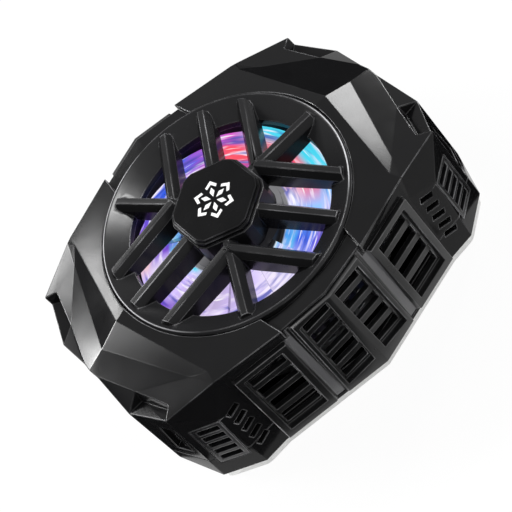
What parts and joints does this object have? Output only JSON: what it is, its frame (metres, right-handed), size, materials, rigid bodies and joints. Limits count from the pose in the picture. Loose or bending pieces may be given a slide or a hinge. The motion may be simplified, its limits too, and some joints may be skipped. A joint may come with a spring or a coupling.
{
  "type": "phone cooling fan",
  "caption": "Faceted phone cooling fan: a spoked grille over a bladed rotor and heat sink, slotted side vents, a thermoelectric cold plate and a soft magnetic rear pad.",
  "frame": {"origin": "centre of the rear face that lies against the phone", "axes": "+X along the length towards the end with the power socket, +Y across the width, +Z out of the front through the fan"},
  "size_m": [0.077, 0.065, 0.031],
  "materials": {
    "shell": "satin black",
    "vent_panel": "satin dark grey",
    "louver": "satin grey",
    "grille": "satin black",
    "cap": "semi-gloss black with a small white print",
    "clear_ring": "clear",
    "board": "green solder mask",
    "lamp": "clear",
    "film": "rainbow film",
    "steel": "plain",
    "magnet": "plated",
    "bronze": "sintered",
    "washer": "plain",
    "copper": "enamelled wire",
    "holder": "plain",
    "screw": "plated",
    "aluminium": "machined",
    "ceramic": "white ceramic",
    "pellet": "semiconductor",
    "foam": "black foam",
    "silicone": "matt white",
    "chip": "moulded",
    "lead": "insulated wire"
  },
  "bodies": {
    "housing": {"front_cover": "shell", "rear_cover": "shell", "left_vent_panel": "vent_panel", "right_vent_panel": "vent_panel", "corner_louvers": "louver", "fan_grille": "grille", "hub_cap": "cap", "light_ring": "clear_ring", "light_board": "board", "lamps_group": "lamp", "bearing_bush": "bronze", "thrust_plate": "washer", "stator_core": "steel", "stator_coils": "copper", "motor_board": "board", "fan_holder": "holder", "fan_screws": "screw", "heat_sink": "aluminium", "sink_screws": "screw", "module_hot_side": "ceramic", "module_pellets": "pellet", "module_cold_side": "ceramic", "foam_gasket": "foam", "cold_plate": "aluminium", "holding_magnets": "magnet", "rear_pad": "silicone", "control_board": "board", "board_chips": "chip", "board_screws": "screw", "module_leads": "lead", "socket_shell": "steel", "socket_tongue": "chip", "housing_screws": "screw"},
    "rotor": {"impeller": "film", "rotor_cup": "steel", "rotor_magnet": "magnet", "motor_shaft": "steel"}
  },
  "joints": [
    {"name": "fan_spin", "type": "hinge", "parent": "housing", "child": "rotor", "pos_m": [0, 0, 0.02], "axis": [0, 0, 1], "continuous": true}
  ]
}
